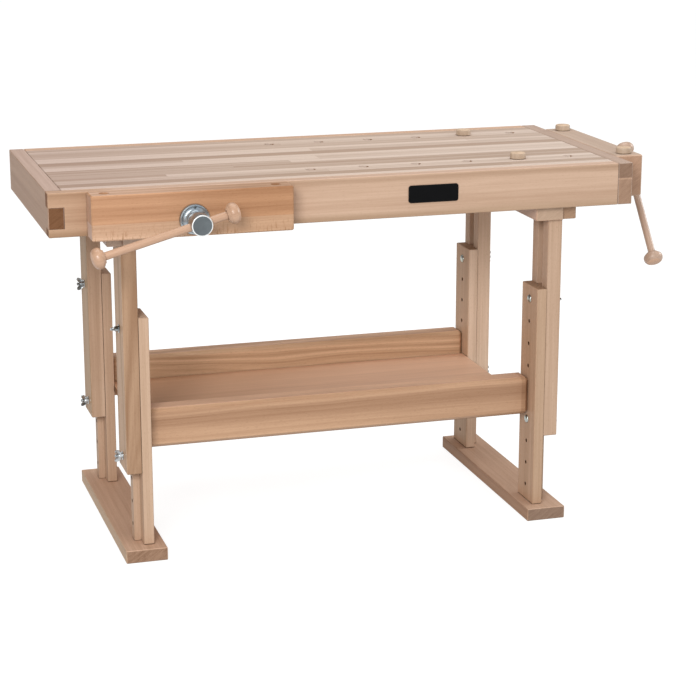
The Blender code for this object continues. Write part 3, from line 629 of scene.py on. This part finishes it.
RIGHT_FOOT = wood(
    "beech_right_foot", srgb(198, 167, 144), srgb(145, 120, 103), "Y", figure=0.4, rings=0.5, gloss=MATT,
    patches=(painted_left_lighting("right_foot", 0.75, 0.65, 0.57),))

# Painted on the front stretcher: a highlight along its rounded top edge, shade along its bottom edge,
# and a shadow at its right end against the post.
STRETCHER = wood(
    "beech_stretcher", srgb(194, 155, 123), END_GRAIN, figure=0.4, streaks=0.3, wear_and_sheen=0.0, grime=0.2,
    pith=((0.0, STRETCHER_LOW.y + 0.050, STRETCHER_LOW.z - 0.010), Vector((1, 0.010, 0.008)), 0.009),
    patches=(Patch("Z", STRETCHER_LOW.z + 0.044, STRETCHER_HIGH.z - 0.016, 0.012, (0.75, 0.70, 0.66)),
             Patch("Z", STRETCHER_HIGH.z - 0.013, STRETCHER_HIGH.z - 0.003, 0.003, (1.04, 1.04, 1.04)),
             Patch("Z", -FAR, STRETCHER_LOW.z + 0.003, 0.0015, (0.68, 0.60, 0.52)),
             Patch("X", 0.10, FAR, 0.25, (0.92, 0.91, 0.91)),
             Patch("X", STRETCHER_HIGH.x - 0.019, FAR, HAIRLINE, (0.82, 0.78, 0.74)),
             painted_top_lighting("front_stretcher", 1.51, 1.56, 1.69)))
BACK_STRETCHER = wood(
    "beech_back_stretcher", srgb(202, 165, 132), END_GRAIN, figure=0.65, streaks=0.4, grime=0.3,
    pith=((0.0, BACK_STRETCHER_LOW.y + 0.050, BACK_STRETCHER_LOW.z + 0.010),
          Vector((1, 0.012, -0.012)), 0.007),
    patches=(painted_top_lighting("back_stretcher", 1.12, 1.10, 1.16),))
# The batten strips along the head rails are darker: painted shade of the set-back strip.
LEFT_RAIL = wood(
    "beech_left_rail", srgb(204, 167, 141), srgb(203, 180, 162), "Y", rings=0.3,
    patches=(Patch("X", -FAR, LEFT_RAIL_SEAM, HAIRLINE, (0.92, 0.90, 0.88)),))
RIGHT_RAIL = wood(
    "beech_right_rail", srgb(204, 167, 141), srgb(187, 160, 137), "Y", rings=0.3,
    patches=(Patch("X", RIGHT_RAIL_SEAM, FAR, HAIRLINE, (0.79, 0.70, 0.62)),))
CLEAT = wood("beech_cleat", srgb(190, 150, 120), END_GRAIN)
BLOCK = wood("beech_block", srgb(198, 162, 134), END_GRAIN)
DOG = wood("beech_dog", srgb(185, 164, 143), srgb(206, 180, 154), "Z", figure=0.35, rings=0.3)
BAR_TONES = {"front": srgb(188, 150, 122), "end": srgb(188, 160, 140)}
BARS = {vise: wood(f"beech_{vise}_bar", BAR_TONES[vise], srgb(202, 165, 138), axis, rings=0.3,
                   roughness=0.32, gloss=0.6)
        for vise, axis in BAR_AXES.items()}

ZINC = metal("zinc_bright", srgb(166, 173, 177), 0.30, 0.10, srgb(150, 162, 172))
RING = metal("zinc_ring", srgb(238, 240, 240), 0.45, 0.03)
STEEL = metal("steel_rod", srgb(170, 172, 173), 0.26, 0.06)
DARK_ZINC = metal("zinc_dark", srgb(104, 110, 113), 0.42, 0.08)
BOLT_ZINC = metal("zinc_bolt", srgb(168, 172, 169), 0.28, 0.10, srgb(180, 184, 170))
NUT_ZINC = metal("zinc_nut", srgb(186, 190, 192), 0.24, 0.20, srgb(112, 118, 120))
BLACK = enamel("plate_black", srgb(11, 11, 12), 0.38)
RIM = enamel("plate_rim", srgb(20, 20, 21), 0.3)

LOOKS = {
    "top_slab": SLAB, "front_apron": APRON, "back_rail": BACK_RAIL,
    "left_end_cap": LEFT_CAP, "right_end_cap": RIGHT_CAP, "name_plate": BLACK,
    "left_head_rail": LEFT_RAIL, "right_head_rail": RIGHT_RAIL,
    "left_front_upper_post": ARCHED_POST, "left_front_lower_post": PALE_POST,
    "left_back_upper_post": LEFT_BACK_POST, "left_back_lower_post": LEFT_BACK_FOOT_POST,
    "right_front_upper_post": GREY_POST, "right_front_lower_post": TAN_POST,
    "right_back_upper_post": BRIGHT_UPPER_POST, "right_back_lower_post": BRIGHT_LOWER_POST,
    "left_foot": LEFT_FOOT, "right_foot": RIGHT_FOOT,
    "front_stretcher": STRETCHER, "back_stretcher": BACK_STRETCHER, "shelf": SHELF,
    "front_shelf_cleat": CLEAT, "back_shelf_cleat": CLEAT,
    "front_vise_jaw": FRONT_JAW, "front_vise_nut": BLOCK,
    "front_vise_left_guide": STEEL, "front_vise_right_guide": STEEL,
    "end_vise_jaw": END_JAW, "end_vise_nut": BLOCK,
    "end_vise_left_guide": STEEL, "end_vise_right_guide": STEEL,
}


def dress_nodes():
    """Gives the CAD nodes that stay in sight their materials."""
    for node, look in LOOKS.items():
        NODES[node].data.materials.clear()
        NODES[node].data.materials.append(look)


# Pieces

def lathe(bm, profile, matrix, sides, material=0):
    """Turns (radius, height) points around the matrix's Z. Ends on the axis are closed."""
    angles = [2 * math.pi * i / sides for i in range(sides)]
    rings = []
    for radius, height in profile:
        if radius == 0:
            rings.append([bm.verts.new(matrix @ Vector((0, 0, height)))])
            continue
        points = [Vector((radius * math.cos(a), radius * math.sin(a), height)) for a in angles]
        rings.append([bm.verts.new(matrix @ point) for point in points])
    for upper, lower in zip(rings, rings[1:]):
        for i in range(sides):
            corners = [upper[i % len(upper)], lower[i % len(lower)],
                       lower[(i + 1) % len(lower)], upper[(i + 1) % len(upper)]]
            face = bm.faces.new(list(dict.fromkeys(corners)))
            face.material_index = material


def thread(bm, radius, depth, pitch, low, high, matrix, sides):
    """A threaded rod from low to high along the matrix's Z, as one closed helical skin."""
    step = len(THREAD_OUTLINE)
    rings = int((high - low) / pitch - 1) * step
    skin = []
    for j in range(rings + 1):
        part, crest = THREAD_OUTLINE[j % step]
        size = radius - depth * (1 - crest)
        ring = []
        for i in range(sides):
            angle = 2 * math.pi * i / sides
            height = low + (j // step + part + i / sides) * pitch
            point = Vector((size * math.cos(angle), size * math.sin(angle), height))
            ring.append(bm.verts.new(matrix @ point))
        skin.append(ring)
    faces = []
    for j in range(rings):
        for i in range(sides - 1):
            faces.append((skin[j][i], skin[j][i + 1], skin[j + 1][i + 1], skin[j + 1][i]))
        if j + step < rings:
            faces.append((skin[j][-1], skin[j + step][0], skin[j + step + 1][0], skin[j + 1][-1]))
    start = skin[0] + [skin[j][0] for j in range(step, 0, -1)]
    finish = skin[rings] + [skin[j][-1] for j in range(rings - 1, rings - step - 1, -1)]
    for loop, height in ((start[::-1], low), (finish, high)):
        tip = bm.verts.new(matrix @ Vector((0, 0, height)))
        faces += [(loop[i], loop[(i + 1) % len(loop)], tip) for i in range(len(loop))]
    for corners in faces:
        bm.faces.new(corners)


def arc(width, height, start, end, steps):
    """Points of an elliptic arc around (0, 0), angles in degrees."""
    angles = [math.radians(start + (end - start) * i / steps) for i in range(steps + 1)]
    return [(width * math.cos(angle), height * math.sin(angle)) for angle in angles]


def shifted(points, radius, height):
    """A profile's steps, placed at an edge."""
    return [(radius + step, height + rise) for step, rise in points]


def piece(name, bm, materials, body, stands_for=None, sharp=SHARP):
    """A smooth-shaded object that rides on a body, and stands for a CAD node if one is named."""
    bmesh.ops.recalc_face_normals(bm, faces=bm.faces)
    mesh = bpy.data.meshes.new(name)
    bm.to_mesh(mesh)
    bm.free()
    for material in materials:
        mesh.materials.append(material)
    mesh.shade_smooth()
    mesh.set_sharp_from_angle(angle=math.radians(sharp))
    obj = bpy.data.objects.new(name, mesh)
    SCENE.collection.objects.link(obj)
    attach(obj, body)
    if stands_for:
        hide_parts(stands_for)
    return obj


def axes_matrix(origin, forward, side):
    """A place whose Z runs along forward and whose X runs towards side."""
    forward = Vector(forward).normalized()
    side = Vector(side)
    side = (side - forward * side.dot(forward)).normalized()
    turn = Matrix((side, forward.cross(side), forward)).transposed().to_4x4()
    return Matrix.Translation(origin) @ turn


def make_vise(vise):
    """Flange with its wood screws, threaded screw with its cross-bored head, and the handle."""
    joint = JOINTS[vise + "_screw_turn"]
    origin = Vector(joint["pos_m"])
    place = axes_matrix(origin, joint["axis"], BAR_AXES[vise])
    forward = place.to_3x3() @ AXIS_Z
    node = vise + "_vise"
    end, face = sorted((corner - origin).dot(forward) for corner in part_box(node + "_screw"))
    bore = place @ Matrix.Translation((0, 0, face - HEAD_LENGTH / 2)) @ Matrix.Rotation(SQUARE, 4, "Y")
    make_flange(node, vise + "_jaw", place)
    make_screw(node, vise + "_screw", place, bore, end, face)
    make_handle(node, vise + "_handle", bore, BARS[vise])


def make_flange(node, body, place):
    """A turned plate with a hub, and wood screws around it, one of them on top, with dark bars across
    their heads as painted shade of cross slots.
    """
    hub = FLANGE_HUB_DIA / 2
    rim = FLANGE_DIA / 2
    bore = SCREW_DIA / 2 + CONTACT
    face = CONTACT + FLANGE_THICK
    top = CONTACT + FLANGE_HUB
    profile = [(bore, top), *shifted(HUB_EDGE, hub, top), *shifted(HUB_FILLET, hub, face),
               *shifted(RIM_GROOVE, rim, face), (rim, CONTACT), (bore, CONTACT), (bore, top)]
    bm = bmesh.new()
    lathe(bm, profile, place, VISE_SIDES)
    bmesh.ops.remove_doubles(bm, verts=bm.verts, dist=WELD)
    up = place.inverted().to_3x3() @ AXIS_Z
    for i in range(WOOD_SCREWS):
        angle = math.atan2(up.y, up.x) + 2 * math.pi * i / WOOD_SCREWS
        spot = (WOOD_SCREW_RING * math.cos(angle), WOOD_SCREW_RING * math.sin(angle), face)
        at = place @ Matrix.Translation(spot) @ Matrix.Rotation(angle, 4, "Z")
        lathe(bm, WOOD_SCREW, at, WOOD_SCREW_SIDES, 1)
        # dark bars as painted shade of the cross slot
        for turn in (0, SQUARE):
            slot = at @ Matrix.Rotation(turn, 4, "Z") @ Matrix.Translation((0, 0, SLOT_SHADE_RISE))
            made = bmesh.ops.create_cube(bm, size=1, matrix=slot @ Matrix.Diagonal((*SLOT_SHADE_BARS, 1)))
            for slot_face in {f for v in made["verts"] for f in v.link_faces}:
                slot_face.material_index = 1
    piece(node + "_flange_detail", bm, (ZINC, DARK_ZINC), body, node + "_flange")


def make_screw(node, body, place, bore, end, face):
    """A head with a bright ring round its dished face, a neck, and the thread behind it."""
    head = HEAD_DIA / 2
    neck = NECK_DIA / 2
    stem = SCREW_DIA / 2
    seat = FLANGE_HUB + 2 * CONTACT
    shoulder = face - HEAD_LENGTH
    ring = shifted(HEAD_RING, head, face)
    dish = [(0, face - DISH_DEPTH), (head - DISH_INSET, face - DISH_DEPTH), ring[0]]
    turn = arc(SHOULDER_WIDTH, SHOULDER_DEPTH, -5, -85, 5)
    profile = [ring[-1], (head, shoulder + SHOULDER_LAND),
               *shifted(turn, head - SHOULDER_WIDTH, shoulder + SHOULDER_DEPTH),
               *shifted(NECK_FLARE, neck, shoulder), (neck, seat), (stem, seat), (stem, STEM_END),
               (0, STEM_END)]
    bm = bmesh.new()
    lathe(bm, ring, place, VISE_SIDES, 2)
    lathe(bm, profile, place, VISE_SIDES)
    lathe(bm, dish, place, VISE_SIDES, 1)
    bmesh.ops.remove_doubles(bm, verts=bm.verts, dist=WELD)
    thread(bm, stem, SCREW_THREAD, SCREW_PITCH, end, THREAD_START, place, THREAD_SIDES)
    obj = piece(node + "_screw_detail", bm, (ZINC, DARK_ZINC, RING), body, node + "_screw")
    cutter = bmesh.new()
    radius = BAR_DIA / 2 + CONTACT
    bmesh.ops.create_cone(cutter, cap_ends=True, segments=BORE_SIDES, radius1=radius,
                          radius2=radius, depth=2 * HEAD_DIA, matrix=bore)
    carve(obj, cutter)


def carve(obj, bm):
    """Takes the bmesh out of an object's mesh."""
    mesh = bpy.data.meshes.new("carving")
    bm.to_mesh(mesh)
    bm.free()
    cutter = bpy.data.objects.new("carving", mesh)
    SCENE.collection.objects.link(cutter)
    modifier = obj.modifiers.new("carve", "BOOLEAN")
    modifier.operation = "DIFFERENCE"
    modifier.solver = "EXACT"
    modifier.object = cutter
    bpy.context.view_layer.update()
    evaluated = obj.evaluated_get(bpy.context.evaluated_depsgraph_get())
    carved = bpy.data.meshes.new_from_object(evaluated)
    obj.modifiers.remove(modifier)
    obj.data = carved
    bpy.data.objects.remove(cutter, do_unlink=True)


def make_handle(node, body, bar, look):
    """The bar with its knob, and the loose knob at its other end. The bar's place has Z along it."""
    axis = bar.to_3x3() @ AXIS_Z
    half = KNOB_LENGTH / 2
    wide = KNOB_DIA / 2
    radius = BAR_DIA / 2
    knob_points = NODES[node + "_end_knob"].data.vertices
    loose = max((v.co - bar.translation).dot(axis) for v in knob_points) - half
    fixed = loose - BAR_SPAN
    flat = -half * math.sin(math.radians(KNOB_CUT))
    crown = [(wide * c ** KNOB_FULL, half * s ** KNOB_FULL) for c, s in arc(1, 1, 90, 0, 14)]
    crown[0] = (0, half)
    base = [(wide * c ** KNOB_FULL, flat * s ** KNOB_FULL) for c, s in arc(1, 1, 0, KNOB_TURN, 8)]
    rim = base[-1][0] - KNOB_STEP
    outline = [*crown, *base[1:], (rim, flat), (rim - KNOB_STEP, flat - KNOB_LIP),
               *shifted(KNOB_BORE, radius, flat)]
    bm = bmesh.new()
    lathe(bm, [*shifted(outline, 0, loose), (0, loose + flat + KNOB_SOCKET)], bar, BAR_SIDES)
    piece(node + "_end_knob_detail", bm, (look,), body, node + "_end_knob", KNOB_SHARP)
    bm = bmesh.new()
    knob = [(r, fixed - z) for r, z in outline]
    tip = loose + flat + BAR_INSET
    rod = [(0, tip), (radius, tip), (radius, fixed - flat - KNOB_SOCKET)]
    lathe(bm, rod + knob[::-1], bar, BAR_SIDES)
    piece(node + "_handle_detail", bm, (look,), body, node + "_handle", KNOB_SHARP)


def make_bolts():
    """Wing nuts on the threaded ends, and domed bolt heads in the lower posts."""
    for bolt in BOLTS:
        joint = JOINTS[bolt + "_nut_turn"]
        centre = Vector(joint["pos_m"])
        outwards = Vector(joint["axis"])
        offsets = [v.co - centre for v in NODES[bolt + "_wing_nut"].data.vertices]
        wing_tip = max(offsets, key=lambda offset: (offset - outwards * offset.dot(outwards)).length)
        place = axes_matrix(centre, outwards, wing_tip)
        make_wing_nut(bolt, place)
        low, high = sorted((corner - centre).dot(outwards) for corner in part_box(bolt + "_bolt"))
        rim = low + BOLT_HEAD_HEIGHT
        dome = arc(BOLT_HEAD_DIA / 2, BOLT_HEAD_HEIGHT, 90, 0, 8)
        head = [(0, low)] + [(r, rim - h) for r, h in dome[1:]]
        bm = bmesh.new()
        lathe(bm, [*head, (BOLT_DIA / 2, rim), (BOLT_DIA / 2, high), (0, high)], place, BOLT_SIDES)
        piece(bolt + "_bolt_detail", bm, (BOLT_ZINC,), "base", bolt + "_bolt")


def make_wing_nut(bolt, place):
    """A hub on a washer, two leaning wings with thick edges, and the bolt's threaded half."""
    hub = NUT_HUB_DIA / 2
    radius = BOLT_DIA / 2
    top = CONTACT + NUT_HUB_HEIGHT
    washer = CONTACT + WASHER_THICK
    reach = hub + WASHER_REACH
    profile = [(0, top), *shifted(NUT_EDGE, hub, top), (hub - NUT_FOOT, washer + NUT_FOOT_RISE),
               (hub - NUT_FOOT, washer), (reach - WASHER_EDGE, washer), (reach, washer - WASHER_EDGE),
               (reach, CONTACT), (radius, CONTACT), (radius, STUD_END), (0, STUD_END)]
    bm = bmesh.new()
    lathe(bm, profile, place, NUT_SIDES)
    thread_low = top - NUT_THREADS_HIDDEN * BOLT_PITCH
    thread(bm, radius, BOLT_THREAD, BOLT_PITCH, thread_low, BOLT_TAIL, place, BOLT_THREAD_SIDES)
    lean = math.radians(WING_LEAN)
    width, length = WING_WIDTH / 2, WING_LENGTH / 2
    span = WING_SPAN / 2 - math.hypot(length * math.sin(lean), width * math.cos(lean))
    front = [(r, WING_THICK / 2 * h) for r, h in WING_SECTION]
    back = [(r, -h) for r, h in front[-2::-1]]
    for wing in (-1, 1):
        at = place @ Matrix.Translation((wing * span, 0, WING_RISE + CONTACT))
        at = at @ Matrix.Rotation(wing * lean, 4, "Y") @ Matrix.Rotation(SQUARE, 4, "X")
        lathe(bm, front + back, at @ Matrix.Diagonal((width, length, 1, 1)), NUT_SIDES)
    piece(bolt + "_wing_nut_detail", bm, (NUT_ZINC,), bolt + "_nut", bolt + "_wing_nut")


def make_dogs():
    """Turned bench dogs with eased edges, their heads on the wood."""
    head = DOG_HEAD_DIA / 2
    shank = DOG_SHANK_DIA / 2
    profile = [(0, DOG_HEAD_HEIGHT), *shifted(DOG_EDGE, head, DOG_HEAD_HEIGHT),
               (head, CONTACT + DOG_EASE), (head - DOG_EASE, CONTACT), (shank, CONTACT),
               (shank, DOG_TIP - DOG_LENGTH), (shank - DOG_TIP, -DOG_LENGTH), (0, -DOG_LENGTH)]
    for dog in DOGS:
        low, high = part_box(dog)
        middle = (low + high) / 2
        place = Matrix.Translation((middle.x, middle.y, high.z - DOG_HEAD_HEIGHT))
        bm = bmesh.new()
        lathe(bm, profile, place, DOG_SIDES)
        piece(dog + "_detail", bm, (DOG,), dog, dog)


def make_plate_rim():
    """A thin raised lip around the blank plate."""
    low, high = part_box("name_plate")
    margin = PLATE_INSET + PLATE_CORNER
    left, right = low.x + margin, high.x - margin
    bottom, top = low.z + margin, high.z - margin
    centres = ((right, top, 0), (left, top, 90), (left, bottom, 180), (right, bottom, 270))
    bm = bmesh.new()
    skin = []
    for width, depth in ((0, PLATE_LIP_ROOT), (0, -PLATE_LIP_RISE),
                         (-PLATE_LIP, -PLATE_LIP_RISE), (-PLATE_LIP, PLATE_LIP_ROOT)):
        radius = PLATE_CORNER + width
        skin.append([bm.verts.new((x + dx, low.y + depth, z + dz)) for x, z, start in centres
                     for dx, dz in arc(radius, radius, start, start + 90, 6)])
    count = len(skin[0])
    for outer, inner in zip(skin, skin[1:] + skin[:1]):
        for i in range(count):
            bm.faces.new((outer[i], outer[(i + 1) % count], inner[(i + 1) % count], inner[i]))
    piece("name_plate_rim", bm, (RIM,), "top")


# Studio
FLOOR_SIZE = 30.0
FLOOR_DROP = 0.0005
WHITE = (1, 1, 1, 1)
FLOOR_LOOK = {"Base Color": (0.25, 0.25, 0.25, 1), "Roughness": 0.9, "Specular IOR Level": 0.0,
              "Emission Color": WHITE, "Emission Strength": 0.88}
SKY_AIM = Vector((0.15, -0.95, 0.2))  # where the daylight is brightest
SKY_RANGE = {"From Min": -0.6, "From Max": 1.0, "To Min": 0.30, "To Max": 0.90}
BACKDROP = 1.05
LAMPS = (  # name, place, target, size, watts
    ("key_lamp", (-2.2, -4.0, 2.6), (0.0, 0.0, 0.5), 1.5, 125),
    ("side_lamp", (3.6, 0.3, 1.9), (0.6, 0.0, 0.7), 1.2, 36),
    ("top_lamp", (0.2, 0.6, 4.2), (0.0, 0.1, 0.6), 3.6, 66))

# Camera, fitted to the photo
PHOTO_SIZE = 696
FOCAL_PIXELS = 1983.2
SENSOR = 36.0
VIEW_END = 100
CAMERA_PLACE = (-1.39665, -4.52925, 1.6793)
CAMERA_PITCH = 0.2617  # below level, radians
CAMERA_TURN = -0.295


def make_floor():
    """A pale floor that glows enough to stay white, left out of the bench's diffuse light."""
    bm = bmesh.new()
    bmesh.ops.create_grid(bm, x_segments=1, y_segments=1, size=FLOOR_SIZE)
    mesh = bpy.data.meshes.new("floor")
    bm.to_mesh(mesh)
    bm.free()
    floor = bpy.data.objects.new("floor", mesh)
    floor.location = (0, 0, -FLOOR_DROP)
    floor.visible_diffuse = False
    SCENE.collection.objects.link(floor)
    look = Graph("floor_white")
    for socket, value in FLOOR_LOOK.items():
        look.shader.inputs[socket].default_value = value
    mesh.materials.append(look.material)


def make_sky():
    """Soft daylight, brighter from the front, on a white backdrop."""
    world = bpy.data.worlds.new("studio")
    world.use_nodes = True
    SCENE.world = world
    nodes = world.node_tree.nodes
    links = world.node_tree.links
    aim = nodes.new("ShaderNodeVectorMath")
    aim.operation = "DOT_PRODUCT"
    aim.inputs[1].default_value = SKY_AIM.normalized()
    links.new(nodes.new("ShaderNodeTexCoord").outputs["Generated"], aim.inputs[0])
    soft = nodes.new("ShaderNodeMapRange")
    for socket, value in SKY_RANGE.items():
        soft.inputs[socket].default_value = value
    links.new(aim.outputs["Value"], soft.inputs["Value"])
    strength = nodes.new("ShaderNodeMix")
    strength.data_type = "FLOAT"
    strength.inputs[3].default_value = BACKDROP
    links.new(nodes.new("ShaderNodeLightPath").outputs["Is Camera Ray"], strength.inputs[0])
    links.new(soft.outputs["Result"], strength.inputs[2])
    background = nodes["Background"]
    background.inputs["Color"].default_value = WHITE
    links.new(strength.outputs[0], background.inputs["Strength"])


def make_lamp(name, place, target, size, power):
    """A soft square lamp, itself out of sight."""
    data = bpy.data.lights.new(name, "AREA")
    data.shape = "SQUARE"
    data.size = size
    data.energy = power
    lamp = bpy.data.objects.new(name, data)
    lamp.location = place
    lamp.rotation_euler = (Vector(target) - Vector(place)).to_track_quat("-Z", "Y").to_euler()
    lamp.visible_camera = False
    SCENE.collection.objects.link(lamp)


def make_camera():
    """A camera at the photo's viewpoint, pitched down, with no lens shift."""
    data = bpy.data.cameras.new("camera")
    data.sensor_fit = "HORIZONTAL"
    data.sensor_width = SENSOR
    data.lens = SENSOR * FOCAL_PIXELS / PHOTO_SIZE
    data.clip_end = VIEW_END
    camera = bpy.data.objects.new("camera", data)
    camera.location = CAMERA_PLACE
    camera.rotation_euler = (SQUARE - CAMERA_PITCH, 0, CAMERA_TURN)
    SCENE.collection.objects.link(camera)
    SCENE.camera = camera


make_camera()
dress_nodes()
for vise_name in VISES:
    make_vise(vise_name)
make_bolts()
make_dogs()
make_plate_rim()
make_floor()
make_sky()
for lamp in LAMPS:
    make_lamp(*lamp)
SCENE.view_settings.view_transform = "Standard"
